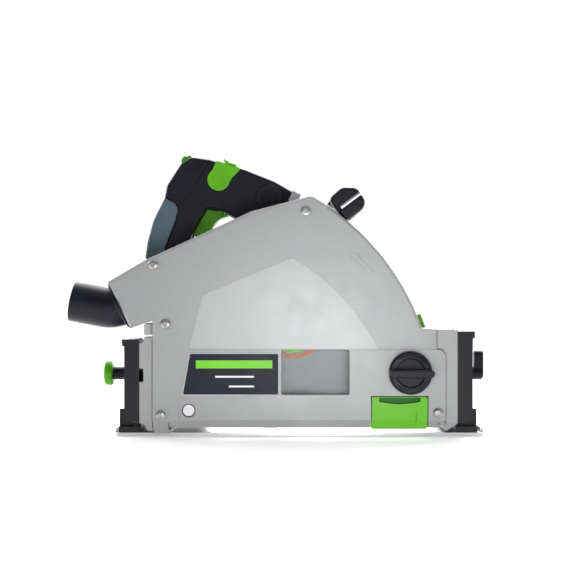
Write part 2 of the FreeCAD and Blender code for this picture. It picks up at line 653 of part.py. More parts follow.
def splinter_parts():
    x0, x1, z0, z1 = SPLINTER
    body = slab("splinter_guard", [outline([
        (x0, z0), (x1, z0, 1.5), (x1, z1, 1.5), (x0, z1, 1.5), (x0, 15)])], f"{NEAR} + 0.2", -3.6)
    wedge = body.newObject("PartDesign::Pocket", "splinter_bevel")
    wedge.Profile = sketch(body, "YZ", [outline([
        (NEAR - 1, 17.6), (NEAR - 1, 4), (-4.5, 4), (-8.4, 8.4)])], x0 - 1)
    wedge.Type, wedge.Midplane = 1, True
    body.Tip = wedge
    arch = (0.5 * (x0 + x1), z1 - 6.2)
    pocket(body, "XZ", [outline([(x0 + 6.4, z1 - 0.8), (x0 + 6.4, z1 - 4), (arch, (
        x1 - 6.4, z1 - 4)), (x1 - 6.4, z1 - 0.8)])], NEAR - 1, f"{NEAR} + 5")
    pocket(body, "XZ", [box(101.7, 9, 102.3, 23)], NEAR - 1, f"{NEAR} + 1.4")
    node("splinter_guard", body)
    high = S.knob_height
    knob = turned("knob_base", [
        (0, -high + 4), (0, -S.wall - 0.6), (4, -S.wall - 0.6), (4, 0.4), (S.knob_radius - 1, 0.4),
        (S.knob_radius, 1.4), (S.knob_radius, 6), (S.knob_radius - 1.6, 7.6),
        (13, 7.6), (12, high - 12), (0, high - 12)][1:], at(KNOB, NEAR), (0, -1, 0))
    grip = slab("knob_grip", [capsule((KNOB[0] - 15.6, KNOB[1]), (KNOB[0] + 16.2, KNOB[1]), 3.4)],
                f"{NEAR} - knob_height", f"{NEAR} - 5")
    soften("Fillet", grip, 1.4, flat_at(NEAR - high))
    join("MultiFuse", "splinter_knob", [knob, grip])


def clamp_knobs():
    bolt = polar(TILT, S.slot_radius, BOLT_ANGLE)
    rear, front = SEGMENT_REAR + S.segment_wall, SEGMENT_INNER + S.segment_wall
    big = S.clamp_knob_radius
    body = turned("rear_clamp_knob", [
        (0, -16), (S.bolt_radius, -16), (S.bolt_radius, 0.4), (6, 0.4), (6, 24.6),
        (big - 1, 24.6), (big, 25.6), (big, 31.4), (big - 1.2, 32.6), (0, 32.6)],
        (-rear, S.blade_y + bolt[0], bolt[1]), (-1, 0, 0))
    node("rear_clamp_knob", body)
    post = turned("front_clamp_post", [
        (0, -14), (S.bolt_radius, -14), (S.bolt_radius, 0.4), (6, 0.4), (6, 25), (0, 25)], (front, S.blade_y + bolt[0], bolt[1]), (1, 0, 0))
    wing = slab("front_clamp_wing", [capsule(bolt, (bolt[0], 69.5), 4)], front + 17.5, front + 26,
                "YZ")
    join("MultiFuse", "front_clamp_lever", [post, wing])


# ---------------------------------------------------------------- saw unit


GEAR_ROOM = S.module * (S.spindle_teeth / 2 + 0.8) + 0.5
GEAR_LOBE = GEAR_ROOM + 2.4


def gear_arm(extra=0.0):
    """The side view of the casting between the pivot, the spindle and the motor."""
    return outline([
        polar(PIVOT, 13 + extra, S.swing - 75), polar(SPINDLE, 18 + extra, S.swing - 90),
        polar(SPINDLE, 18 + extra, S.swing + 90),
        polar(MOTOR, S.motor_radius - 5 + extra, S.swing + 100),
        polar(PIVOT, 13 + extra, S.swing + 100)])


def gear_box():
    """The casting from the pivot lug to the spindle and motor, and the cover behind the gears."""
    body = slab("gear_housing", [circle(PIVOT, 14)], "gear_near", 44)
    mouth = S.module * (S.pinion_teeth / 2 + 0.8) + 0.5
    pad(body, "XZ", [circle(SPINDLE, GEAR_LOBE)], "gear_near", "gear_middle")
    pad(body, "XZ", [circle(MOTOR, S.motor_radius - 2)], "gear_near", "gear_middle")
    pad(body, "XZ", [gear_arm()], "gear_near", "gear_middle")
    pad(body, "XZ", [circle(SPINDLE, 13.8)], 5, "gear_near + 1")
    pocket(body, "XZ", [circle(PIVOT, S.pin_radius + S.running_fit)], 13, 45)
    pocket(body, "XZ", [circle(SPINDLE, 9.3)], 4, 15)
    pocket(body, "XZ", [circle(SPINDLE, 13)], 15, 24)
    pocket(body, "XZ", [circle(SPINDLE, GEAR_ROOM)], 24, 35)
    pocket(body, "XZ", [circle(MOTOR, mouth)], 24, 35)
    node("gear_housing", body)
    cover = slab("gear_cover", [circle(MOTOR, S.motor_radius)], "gear_middle", "gear_far")
    pad(cover, "XZ", [circle(SPINDLE, GEAR_LOBE)], "gear_middle", "gear_far")
    pocket(cover, "XZ", [circle(SPINDLE, 13)], 34, 43)
    pocket(cover, "XZ", [circle(MOTOR, 9)], 34, 46)
    node("gear_cover", cover)


CAP_SCREWS = [polar(MOTOR, 24, angle) for angle in (10, 130, 230, 310)]
HANDLE_SCREWS = [(-104, 222), (-6, 196), (-116, 142), (-22, 172)]


def tube(name, centre, outer, inner, start, end):
    return slab(name, [circle(centre, outer), circle(centre, inner)], start, end)


def motor():
    big = S.motor_radius
    body = tube("motor_housing", MOTOR, big, big - 3.5, "gear_far", "motor_far")
    for k in range(4):
        at_angle = 90 * k + 45
        pocket(body, "XZ", [sector(MOTOR, big - 5, big + 2, at_angle + 12 * j - 20,
                                   at_angle + 12 * j - 14) for j in range(3)],
               "motor_far - 26", "motor_far - 8")
    node("motor_housing", body)
    cap = slab("motor_end_cap", [circle(MOTOR, big)], "motor_far", "motor_far + 11")
    soften("Fillet", cap, 6, flat_at(S.motor_far + 11))
    pocket(cap, "XZ", [circle(MOTOR, 9)], "motor_far - 1", "motor_far + 7.5")
    dial = polar(MOTOR, 22, 60)
    pocket(cap, "XZ", [circle(dial, 8.5)], "motor_far + 6.5", "motor_far + 12")
    pocket(cap, "XZ", [circle(dial, 2 + S.running_fit)], "motor_far + 2", "motor_far + 7")
    vents = [capsule((MOTOR[0] - 24, MOTOR[1] + 5 * k), (MOTOR[0] - 13, MOTOR[1] + 5 * k), 1.2)
             for k in range(-2, 3)]
    pocket(cap, "XZ", vents, "motor_far - 1", "motor_far + 12")
    pocket(cap, "XZ", [circle(c, 1.75) for c in CAP_SCREWS], "motor_far + 7.5", "motor_far + 12")
    node("motor_end_cap", cap)
    node("speed_dial", turned("speed_dial", [
        (0, 0), (2, 0), (2, 3.5), (8, 3.5), (8, 7.5), (7, 8.5), (0, 8.5)],
        at(dial, S.motor_far + 3), (0, 1, 0)))
    node("stator", tube("stator", MOTOR, big - 3.5, 20.6, 57, 104))
    node("brush_holders", slab("brush_holders", [
        box(MOTOR[0] - big + 3.7, MOTOR[1] - 4, MOTOR[0] - 11.4, MOTOR[1] + 4),
        box(MOTOR[0] + 11.4, MOTOR[1] - 4, MOTOR[0] + big - 3.7, MOTOR[1] + 4)], 108, 118))
    fit = S.shaft_radius + S.running_fit
    join("Compound", "motor_bearings", [
        tube("front_motor_bearing", MOTOR, 9, fit, 36, 43),
        tube("rear_motor_bearing", MOTOR, 9, fit, "motor_far + 0.5", "motor_far + 7.5")])
    join("Compound", "spindle_bearings", [
        tube("near_spindle_bearing", SPINDLE, 13, S.spindle_radius + S.running_fit, 15, 23),
        tube("far_spindle_bearing", SPINDLE, 13, S.spindle_radius + S.running_fit, 34.5, 42.5)])
    places = [at(c, S.motor_far + 11) for c in CAP_SCREWS]
    places += [at(c, S.handle_far) for c in HANDLE_SCREWS]
    join("Compound", "saw_unit_screws", [
        screw(f"unit_screw{i}", place, (0, 1, 0), 3.8, 1.7, 3.2, 2)
        for i, place in enumerate(places)])
    armature()


def armature():
    shaft = slab("motor_shaft", [circle(MOTOR, S.shaft_radius)], 34.5, "motor_far + 7")
    pad(shaft, "XZ", [gear_outline(MOTOR, S.pinion_teeth, S.swing - 90 + 180 / S.pinion_teeth)],
        25, 34.6)
    node("motor_shaft", shaft)
    slots = []
    for k in range(12):
        slots.append(circle(polar(MOTOR, 15.5, 30 * k), 2.6))
    core = slab("armature_core", [circle(MOTOR, 20), circle(MOTOR, S.shaft_radius), *slots], 58,
                103)
    node("armature_core", core)
    node("commutator", tube("commutator", MOTOR, 11, S.shaft_radius, 106, 120))
    fan = tube("fan", MOTOR, 29, S.shaft_radius, 46.5, 48.5)
    for k in range(9):
        pad(fan, "XZ", [sector(MOTOR, 12, 29, 40 * k, 40 * k + 5)], 48, 54)
    pad(fan, "XZ", [circle(MOTOR, 8), circle(MOTOR, S.shaft_radius)], 48, 54)
    node("fan", fan)


def blade_parts():
    teeth, big = 28, S.blade_radius
    items = []
    for k in range(teeth):
        a = -360 / teeth * k
        items += [polar(SPINDLE, big - 4.4, a), polar(SPINDLE, big, a + 0.6),
                  polar(SPINDLE, big - 0.7, a - 3.6), polar(SPINDLE, big - 3.4, a - 7.8),
                  polar(SPINDLE, big - 4.9, a - 9.6)]
    half = S.blade_thickness / 2
    node("saw_blade", slab("saw_blade", [outline(items), circle(SPINDLE, S.blade_bore)], -half,
                           half))
    node("inner_flange", tube("inner_flange", SPINDLE, 18, S.blade_bore, half, 4.5))
    node("outer_flange", tube("outer_flange", SPINDLE, 18, 4, -4.5, -half))
    shaft = slab("spindle", [circle(SPINDLE, S.blade_bore - 0.02)], -half, 4.5)
    pad(shaft, "XZ", [circle(SPINDLE, 8.9)], 4, 14)
    pad(shaft, "XZ", [circle(SPINDLE, S.spindle_radius)], 13, 42)
    pocket(shaft, "XZ", [circle(SPINDLE, 4)], -2, 14)
    node("spindle", shaft)
    bolt = slab("blade_screw", [outline([polar(SPINDLE, 8, 60 * k) for k in range(6)])], -9.5,
                -4.5)
    pad(bolt, "XZ", [circle(SPINDLE, 4)], -4.6, 12)
    pocket(bolt, "XZ", [outline([polar(SPINDLE, 3, 60 * k) for k in range(6)])], -10, -6)
    node("blade_screw", bolt)
    gear = slab("spindle_gear", [gear_outline(SPINDLE, S.spindle_teeth, S.swing + 90),
                                 circle(SPINDLE, S.spindle_radius)], 25, 33)
    node("spindle_gear", gear)
    knife = slab("riving_knife", [sector(SPINDLE, big + 2.5, big + 18, 221, 262)], -0.8, 0.8)
    pad(knife, "XZ", [sector(SPINDLE, big + 4, big + 17, 222, 231)], -0.8, 7.2)
    pad(knife, "XZ", [sector(SPINDLE, 14.4, big + 17, 222, 231)], 5.2, 7.2)
    pad(knife, "XZ", [circle(SPINDLE, 20), circle(SPINDLE, 13.8 + S.running_fit)], 5.2, 7.2)
    node("riving_knife", knife)


# ---------------------------------------------------------------- rear handle

LOBE = (-73.7, 231.6)
TRIGGER_PIN = (-72.0, 204.6)
RUBBER_EDGE = [(-123.5, 215.1), (-113.9, 210), (-111.2, 204.5), (-113.9, 193.8),
               (-120.1, 176.9), (-127, 158.6)]


def handle_loops():
    outer = outline([
        *[(x, z, 4) if i == 1 else (x, z) for i, (x, z) in enumerate(RUBBER_EDGE)],
        (-127, 131, 8), (-95, 113, 10), (-50, 103), (-30, 100), (-6, 140), (1, 160), (-1.5, 203),
        (1.1, 216.6, 3), (-22.2, 230), (-49.6, 241), (-83.1, 250.4, 20), (-99.5, 252.6, 5),
        (-108.8, 246.1, 5), (-121.4, 226.6, 8)])
    inner = outline([
        (-98, 181.5, 2), (-108, 158, 8), (-98, 141, 8), (-62, 131, 8), (-44, 150, 8),
        (-42, 188, 8), (-59, 196.2, 4), (-70, 202.4, 3), (-84.5, 205.6, 3)])
    return outer, inner


def strip(points, half):
    """A narrow band along a bent line."""
    sides = []
    for turn in (90, -90):
        side = []
        for i, here in enumerate(points):
            one, two = points[max(i - 1, 0)], points[min(i + 1, len(points) - 1)]
            way = math.degrees(math.atan2(two[1] - one[1], two[0] - one[0]))
            side.append(polar(here, half, way + turn))
        sides.append(side)
    return outline(sides[0] + sides[1][::-1])


def near_face(body):
    """Room for the gear case, the set-back lower grip and the moulding's split line."""
    pocket(body, "XZ", [circle(SPINDLE, GEAR_LOBE + S.slide_gap)], "handle_near",
           "gear_far + slide_gap")
    pocket(body, "XZ", [gear_arm(0.5)], "handle_near", "gear_middle + slide_gap")
    pocket(body, "XZ", [outline([
        (-145, 223), (-123, 219), (-101, 215), (-59, 197), (-48, 190), (-48, 96), (-145, 96)])],
        "handle_near - 1", "handle_near + 0.8")
    pocket(body, "XZ", [strip([(-81, 251.2), (-101.5, 216.4), (-119, 175)], 0.3)],
           "handle_near - 1", "handle_near + 1.3")


def rear_handle():
    trigger_room = outline([(-58, 194), (-62, 211), (-88, 211), (-109, 188), (-98, 176)])
    hollow = outline([(-96, 244), (-84, 245), (-20, 224), (-10, 212), (-14, 207), (-58, 212),
                      (-90, 214)])
    catch_room = box(-113, 240, -94, 262)
    y0, y1, mid = S.handle_near, S.handle_far, S.handle_mid
    halves = (("handle_left", "handle_near", "handle_mid", y0, (y0 + 3.5, mid), (y0, mid)),
              ("handle_right", "handle_mid", "handle_far", y1, (mid, y1 - 3.5), (mid, y1)))
    for name, start, end, face, inside, all_through in halves:
        body = slab(name, handle_loops(), start, end)
        soften("Fillet", body, 3.0, lambda b, e, face=face: flat_at(face, 100, 260)(b, e))
        doc.recompute()
        room = (max(inside[0], mid - 8.6), min(inside[1], mid + 8.6))
        catch = (max(inside[0], mid - 5.5), min(inside[1], mid + 5.5))
        pocket(body, "XZ", [trigger_room], *room)
        pocket(body, "XZ", [hollow], *inside)
        pocket(body, "XZ", [catch_room], *catch)
        pocket(body, "XZ", [circle(LOBE, 3 + S.running_fit)], *all_through)
        pocket(body, "XZ", [circle(MOTOR, S.motor_radius + S.slide_gap)], start, end)
        if name == "handle_left":
            near_face(body)
        else:
            pocket(body, "XZ", [circle(c, 1.75) for c in HANDLE_SCREWS], f"{end} - 4",
                   f"{end} + 1")
        node(name, body)
    grip = slab("handle_rubber", [outline([
        *reversed(RUBBER_EDGE[1:]), RUBBER_EDGE[0], (-133.9, 194.3, 40), (-139.2, 175),
        (-141.5, 160, 4), (-136, 152, 3)])], "handle_near", "handle_far")
    soften("Fillet", grip, 2.5, lambda b, e: (
        flat_at(y0)(b, e) or flat_at(y1)(b, e)) and b.XMax < -123)
    node("handle_rubber", grip)
    trigger = slab("trigger", [outline([
        (-84.5, 205.0, 1), (-66.5, 200.2, 1.5), (-66, 198.2), ((-77.5, 192.2), (-81.5, 183.5)),
        (-96.5, 179.4, 2), (-99.5, 184)])], f"{mid} - 8", f"{mid} + 8")
    pad(trigger, "XZ", [circle(TRIGGER_PIN, 3.6)], f"{mid} - 8", f"{mid} + 8")
    node("trigger", trigger)
    node("release_slide", slab("release_slide", [outline([
        (-111.5, 241), (-109.3, 246.6), (-108.9, 252.6, 2.5), (-106.5, 254.6, 1.5),
        (-99.9, 255.2, 1.5), (-98.5, 251), (-99.5, 241)])], f"{mid} - 5", f"{mid} + 5"))
    node("switch_block", slab("switch_block", [box(-89.5, 221, -78.5, 240, 1)], mid - 7, mid + 7))
    node("electronics_module", slab("electronics_module", [outline([
        (-56, 215), (-24, 214), (-24, 222), (-56, 231.5)])], mid - 11, mid + 11))
    inlet = tube("power_inlet", (-27.3, 214.6), 12, 7.3, S.handle_near - 4, "handle_near")
    pad(inlet, "XZ", [circle((-27.3, 214.6), 8)], S.handle_near - 1.5, "handle_near")
    node("power_inlet", inlet)
    step = S.swing + 22.1 + 0.2
    node("stop_finger", slab("stop_finger", [sector(
        PIVOT, S.scale_radius + 2, S.scale_radius + 12, step, step + 2.2)], 18.2, "handle_near"))
    lever()


def lever():
    """The green bail over the top of the handle, with a cheek on each side and a pin between."""
    bar = outline([
        polar(LOBE, 19.5, 40), polar(LOBE, 21.2, 40), (polar(LOBE, 18.5, 60),
                                                       polar(LOBE, 19.6, 75)),
        polar(LOBE, 17.9, 75), polar(LOBE, 16.5, 62)])
    cheek = outline([
        polar(LOBE, 10, 190), polar(LOBE, 10, -40), (LOBE[0] + 12.3, LOBE[1] + 1.5),
        (-53, 241.9, 1.5), (-76, 248.9, 1.5)])
    near, far = S.handle_near - 0.4, S.handle_far + 0.4
    body = slab("lock_lever", [bar], near - 2.2, far + 2.2)
    for start in (near - 2.2, far):
        pad(body, "XZ", [cheek], start, start + 2.2)
        pad(body, "XZ", [circle(LOBE, 10.3)], start, start + 2.2)
    pocket(body, "XZ", [circle(LOBE, 6.4)], near - 3, near - 1.6)
    pad(body, "XZ", [circle(LOBE, 3)], near - 1.7, far + 1)
    node("lock_lever", body)


# ---------------------------------------------------------------- build and write out

base_parts()
guard_cover()
guard_back()
duct()
dust_port()
carriers()
pivot_parts()
front_handle()
small_head_parts()
splinter_parts()
clamp_knobs()
gear_box()
motor()
blade_parts()
rear_handle()
doc.recompute()

for thing in doc.Objects:
    bad = {"Invalid", "Error"} & set(thing.State)
    if bad:
        raise RuntimeError(f"{thing.Label}: {sorted(bad)}")
os.makedirs("parts", exist_ok=True)
for name, thing in NODES.items():
    shape = thing.Shape
    if shape.isNull() or not shape.isValid() or not shape.Solids:
        raise RuntimeError(f"{name} has no sound solid")
    shape.exportStep(f"parts/{name}.step")
print(len(NODES), "nodes")
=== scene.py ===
# %% [markdown]
# # A track plunge saw
# The saw is a guard head that tilts on a flat sole, with a motor and handle that swing down inside it.
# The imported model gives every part's true place and size. This file gives the parts their finish:
# edges that catch the light, paint, moulded plastic, ground steel, and small trim.

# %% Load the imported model
import json
import math

import bmesh
import bpy
from mathutils import Matrix, Vector


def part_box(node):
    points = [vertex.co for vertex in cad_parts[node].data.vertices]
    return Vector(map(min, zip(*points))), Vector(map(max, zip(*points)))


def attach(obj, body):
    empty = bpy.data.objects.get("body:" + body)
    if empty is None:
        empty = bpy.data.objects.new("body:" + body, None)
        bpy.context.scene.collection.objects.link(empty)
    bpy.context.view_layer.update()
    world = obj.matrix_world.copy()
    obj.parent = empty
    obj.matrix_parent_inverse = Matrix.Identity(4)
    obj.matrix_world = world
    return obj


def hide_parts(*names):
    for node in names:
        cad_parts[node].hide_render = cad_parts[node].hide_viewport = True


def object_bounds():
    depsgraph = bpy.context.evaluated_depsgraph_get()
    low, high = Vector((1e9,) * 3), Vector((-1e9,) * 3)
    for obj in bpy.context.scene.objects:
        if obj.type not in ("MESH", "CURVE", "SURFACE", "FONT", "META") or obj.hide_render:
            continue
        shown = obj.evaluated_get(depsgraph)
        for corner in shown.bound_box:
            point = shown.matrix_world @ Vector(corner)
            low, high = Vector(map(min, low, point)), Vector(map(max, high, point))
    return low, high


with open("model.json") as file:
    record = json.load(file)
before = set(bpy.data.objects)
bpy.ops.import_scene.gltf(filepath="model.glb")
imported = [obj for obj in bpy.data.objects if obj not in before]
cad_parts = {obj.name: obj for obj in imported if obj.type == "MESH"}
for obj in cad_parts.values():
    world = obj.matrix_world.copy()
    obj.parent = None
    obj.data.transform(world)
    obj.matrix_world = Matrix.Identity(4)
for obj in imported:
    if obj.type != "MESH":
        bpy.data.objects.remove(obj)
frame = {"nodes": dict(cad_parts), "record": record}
CAD_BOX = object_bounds()
RECORD = frame["record"]
BODY_OF = {n: b for b, group in RECORD["behaviour"]["bodies"].items() for n in group}
JOINTS = {j["name"]: j for j in RECORD["behaviour"]["joints"]}
MM = 0.001
print(len(BODY_OF), "parts, box", CAD_BOX)

# %% [markdown]
# ## Finishes
# Every finish is one Principled shader. Three noises make it real: a slow one moves the colour a
# little, a middle one moves the gloss, and a fine one is the grain that fingers would feel. All of
# them read Object coordinates, so the pattern stays on the part when it moves.

# %% A base for all the finishes


def principled(name, colour, rough, metal=0.0):
    """A new material, and the shader that its finish is set on."""
    made = bpy.data.materials.new(name)
    made.use_nodes = True
    shader = made.node_tree.nodes["Principled BSDF"]
    shader.inputs["Base Color"].default_value = (*colour, 1)
    shader.inputs["Roughness"].default_value = rough
    shader.inputs["Metallic"].default_value = metal
    return made, shader


def place(material, scale=(1, 1, 1), centre=(0, 0, 0)):
    """Object coordinates, centred on a point and stretched."""
    nodes, links = material.node_tree.nodes, material.node_tree.links
    spot = nodes.new("ShaderNodeTexCoord")
    mapping = nodes.new("ShaderNodeMapping")
    mapping.inputs["Location"].default_value = [-c * s for c, s in zip(centre, scale)]
    mapping.inputs["Scale"].default_value = scale
    links.new(spot.outputs["Object"], mapping.inputs["Vector"])
    return mapping.outputs["Vector"]


def noise(material, where, scale, detail=3.0, rough=0.55):
    """Soft random patches, finer as the scale goes up."""
    node = material.node_tree.nodes.new("ShaderNodeTexNoise")
    node.inputs["Scale"].default_value = scale
    node.inputs["Detail"].default_value = detail
    node.inputs["Roughness"].default_value = rough
    material.node_tree.links.new(where, node.inputs["Vector"])
    return node.outputs["Fac"]


def shade(material, shader, value, dark, light, low=0.35, high=0.65):
    """Colour that moves between two shades as the value does."""
    ramp = material.node_tree.nodes.new("ShaderNodeValToRGB")
    ramp.color_ramp.elements[0].position, ramp.color_ramp.elements[1].position = low, high
    ramp.color_ramp.elements[0].color = (*dark, 1)
    ramp.color_ramp.elements[1].color = (*light, 1)
    material.node_tree.links.new(value, ramp.inputs["Fac"])
    material.node_tree.links.new(ramp.outputs["Color"], shader.inputs["Base Color"])


def gloss(material, shader, value, low, high):
    """Roughness that moves between two levels as the value does."""
    ranged = material.node_tree.nodes.new("ShaderNodeMapRange")
    ranged.inputs["From Min"].default_value, ranged.inputs["From Max"].default_value = 0.3, 0.7
    ranged.inputs["To Min"].default_value, ranged.inputs["To Max"].default_value = low, high
    material.node_tree.links.new(value, ranged.inputs["Value"])
    material.node_tree.links.new(ranged.outputs["Result"], shader.inputs["Roughness"])


def relief(material, shader, value, depth, strength=1.0):
    """A bump of a real depth in metres."""
    bump = material.node_tree.nodes.new("ShaderNodeBump")
    bump.inputs["Distance"].default_value = depth
    bump.inputs["Strength"].default_value = strength
    material.node_tree.links.new(value, bump.inputs["Height"])
    material.node_tree.links.new(bump.outputs["Normal"], shader.inputs["Normal"])


def tinted(colour, amount):
    """A lighter or darker shade of one colour."""
    return tuple(min(1.0, c * amount) for c in colour)


# %% [markdown]
# ### Silver paint
# The guard is die-cast and painted a fine satin silver. Real silver paint holds flakes, so it is part
# metal and part pigment, and under soft light it shows a faint sparkle grain.

# The shallow panels pressed into the face get a lighter copy of the same paint, a painted highlight
# for the light that falls on them. One function makes both.

# %% Silver paint
SILVER = (0.31, 0.314, 0.318)
FLAKE_SCALE, CASTING_SCALE = 2600, 1900


def sprayed_silver(name, colour, darkest, lightest):
    """Satin silver: flakes in the colour, and the casting's grain under the paint."""
    made, bsdf = principled(name, colour, 0.46, 0.25)
    spot = place(made)
    shade(made, bsdf, noise(made, spot, FLAKE_SCALE, 2, 0.7), tinted(colour, darkest),
          tinted(colour, lightest))
    gloss(made, bsdf, noise(made, spot, 60), 0.43, 0.5)
    relief(made, bsdf, noise(made, spot, CASTING_SCALE, 2), 0.03 * MM, 0.5)
    return made


silver_paint = sprayed_silver("silver_paint", SILVER, 0.90, 1.07)
# A lighter copy of the silver: painted highlight on the pressed panels.
silver_panel_painted_highlight = sprayed_silver("silver_panel_painted_highlight", tinted(SILVER, 1.22), 0.92, 1.06)
print(silver_paint.name, silver_panel_painted_highlight.name)

# %% [markdown]
# ### Moulded plastics and castings
# The handle and collars are glass-filled nylon, almost black with a hint of blue and a fine spark
# grain. The quadrants and gear casting are powder coated, which is glossier with a soft orange peel.
# The green parts are smooth and a little glossy. The grip is a soft overmoulding, dull and grey-blue.

# %% Moulded plastics and castings


def moulded(name, colour, rough, grain, depth, spread=0.12, coat=0.0, shine=0.25):
    """Plastic or powder coat: depth is that of its grain in metres, spread that of its colour."""
    made, bsdf = principled(name, colour, rough)
    bsdf.inputs["Specular IOR Level"].default_value = shine
    bsdf.inputs["Coat Weight"].default_value = coat
    bsdf.inputs["Coat Roughness"].default_value = 0.25
    spot = place(made)
    shade(made, bsdf, noise(made, spot, 35), tinted(colour, 1 - spread), tinted(colour, 1 + spread))
    gloss(made, bsdf, noise(made, spot, 90), rough - 0.05, rough + 0.06)
    relief(made, bsdf, noise(made, spot, grain, 4, 0.6), depth)
    return made


black_plastic = moulded("black_plastic", (0.0045, 0.0052, 0.0105), 0.4, 1500, 0.00006, 0.2)
cast_black = moulded("cast_black", (0.0048, 0.0052, 0.0075), 0.36, 420, 0.00004, 0.2, 0.15)
green_plastic = moulded("green_plastic", (0.115, 0.43, 0.010), 0.33, 700, 0.000012, 0.05, 0.1)
# A darker green for the splinter guard's recessed pull: painted shade in the recess.
recess_painted_shade_green = moulded("recess_painted_shade_green", (0.006, 0.15, 0.018), 0.4, 700, 0.00002, 0.1)
soft_grip = moulded("soft_grip", (0.082, 0.124, 0.152), 0.58, 1100, 0.00012, 0.16)
grey_plastic = moulded("grey_plastic", (0.42, 0.43, 0.44), 0.4, 900, 0.00004)
circuit_potting = moulded("circuit_potting", (0.02, 0.05, 0.035), 0.3, 300, 0.0001)
print("moulded finishes, from", black_plastic.name, "to", circuit_potting.name)

# %% [markdown]
# ### Metals
# Rolled and ground steel is brushed one way, so its noise is stretched along the brushing. The blade
# is ground in circles, so its pattern is rings about the spindle. The sole is milled aluminium.

# %% Metals


def brushed(name, colour, rough, stretch, depth, metal=1.0):
    """Metal whose grain is drawn out along one axis."""
    made, bsdf = principled(name, colour, rough, metal)
    along = place(made, stretch)
    spot = place(made)
    shade(made, bsdf, noise(made, along, 260, 4), tinted(colour, 0.86), tinted(colour, 1.1))
    gloss(made, bsdf, noise(made, spot, 45), rough - 0.06, rough + 0.08)
    relief(made, bsdf, noise(made, along, 900, 3), depth)
    return made


steel = brushed("steel", (0.56, 0.565, 0.58), 0.26, (1, 1, 12), 0.00002)
dark_steel = brushed("dark_steel", (0.17, 0.17, 0.178), 0.36, (1, 8, 1), 0.00002)
screw_steel = brushed("screw_steel", (0.40, 0.40, 0.405), 0.33, (1, 1, 1), 0.00003)
plate_metal = brushed("plate_metal", (0.60, 0.61, 0.625), 0.34, (0.06, 1, 1), 0.00003)
copper = brushed("copper", (0.55, 0.24, 0.11), 0.34, (1, 10, 1), 0.00006)

SPINDLE = Vector(JOINTS["blade_spin"]["pos_m"])
blade_steel, shader = principled("blade_steel", (0.16, 0.162, 0.166), 0.5, 0.6)
rings = blade_steel.node_tree.nodes.new("ShaderNodeTexWave")
rings.wave_type, rings.rings_direction = "RINGS", "Y"
rings.inputs["Scale"].default_value = 420
rings.inputs["Distortion"].default_value = 3.0
rings.inputs["Detail"].default_value = 3.0
about = place(blade_steel, (1, 1, 1), SPINDLE)
blade_steel.node_tree.links.new(about, rings.inputs["Vector"])
shade(blade_steel, shader, rings.outputs["Fac"], (0.13, 0.132, 0.136), (0.185, 0.188, 0.193), 0, 1)
gloss(blade_steel, shader, noise(blade_steel, about, 70), 0.45, 0.56)
relief(blade_steel, shader, rings.outputs["Fac"], 0.00002, 0.6)
print("spindle at", tuple(SPINDLE))

# %% [markdown]
# ### Window, label and print
# The window is clear polycarbonate, so the shader lets light through. The label is a navy plate; its
# bars stand where such plates carry words. The blade's print is thin enamel in two colours.

# %% Window, label and print
clear, shader = principled("clear_window", (0.94, 0.96, 0.97), 0.08)
shader.inputs["Transmission Weight"].default_value = 1.0
shader.inputs["IOR"].default_value = 1.2
shader.inputs["Alpha"].default_value = 0.35
here = place(clear)
gloss(clear, shader, noise(clear, here, 120), 0.04, 0.12)
relief(clear, shader, noise(clear, here, 40), 0.00002)

label_navy = moulded("label_navy", (0.003, 0.004, 0.013), 0.42, 900, 0.00001, 0.1)
print_green = moulded("print_green", (0.16, 0.56, 0.03), 0.36, 900, 0.00002, 0.05)
print_orange = moulded("print_orange", (0.42, 0.11, 0.012), 0.4, 900, 0.00003, 0.08)
print_white = moulded("print_white", (0.74, 0.76, 0.78), 0.4, 900, 0.00001, 0.04)
print("window, label and print finishes")

# %% [markdown]
# ## Dressing the CAD parts
# A part straight from CAD has edges of zero radius, which no real part has, and they look like paper.
# Each shown part is copied, its loose triangles are merged back into faces, and its sharp edges get a
# small round. The round is what draws the thin bright line along every edge of the real saw. An edge
# of a very narrow face is left sharp, because a round there would be wider than the face.

# %% A rounded copy of a CAD part
SAME_POINT = 0.002 * MM
FLAT_ANGLE, CREASE_ANGLE = math.radians(0.6), math.radians(38)
ROUNDS_PER_FACE = 2.2


def merged(node):
    """A CAD part's loose triangles as whole faces."""
    mesh = bmesh.new()
    mesh.from_mesh(frame["nodes"][node].data)
    bmesh.ops.remove_doubles(mesh, verts=mesh.verts, dist=SAME_POINT)
    return mesh


def wide_enough(edge, width):
    """Both faces of the edge have room for the round."""
    smallest = min(face.calc_area() for face in edge.link_faces)
    return smallest > ROUNDS_PER_FACE * width * edge.calc_length()


def dressed(node, material, width_mm, angle=28):
    """A copy of a CAD part with its sharp edges rounded over the given width."""
    mesh = merged(node)
    bmesh.ops.dissolve_limit(mesh, angle_limit=FLAT_ANGLE, verts=mesh.verts, edges=mesh.edges)
    limit = math.radians(angle)
    width = width_mm * MM
    sharp = [e for e in mesh.edges if len(e.link_faces) == 2 and e.calc_face_angle(0) > limit
             and wide_enough(e, width)]
    bmesh.ops.bevel(mesh, geom=sharp, offset=width, offset_type="OFFSET", segments=2,
                    profile=0.5, affect="EDGES", clamp_overlap=False, material=-1)
    for face in mesh.faces:
        face.smooth = True
    for edge in mesh.edges:
        edge.smooth = len(edge.link_faces) == 2 and edge.calc_face_angle(0) < CREASE_ANGLE
    return finished(f"{node}_shown", mesh, material, node)


def finished(name, mesh, material, *nodes, body=None):
    """The mesh as an object that rides on its body, and stands for the nodes it replaces."""
    data = bpy.data.meshes.new(name)
    mesh.to_mesh(data)
    mesh.free()
    data.materials.append(material)
    piece = bpy.data.objects.new(name, data)
    bpy.context.scene.collection.objects.link(piece)
    normals = piece.modifiers.new("face weighting", "WEIGHTED_NORMAL")
    normals.keep_sharp = True
    if nodes:
        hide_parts(*nodes)
    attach(piece, body or BODY_OF[nodes[0]])
    return piece


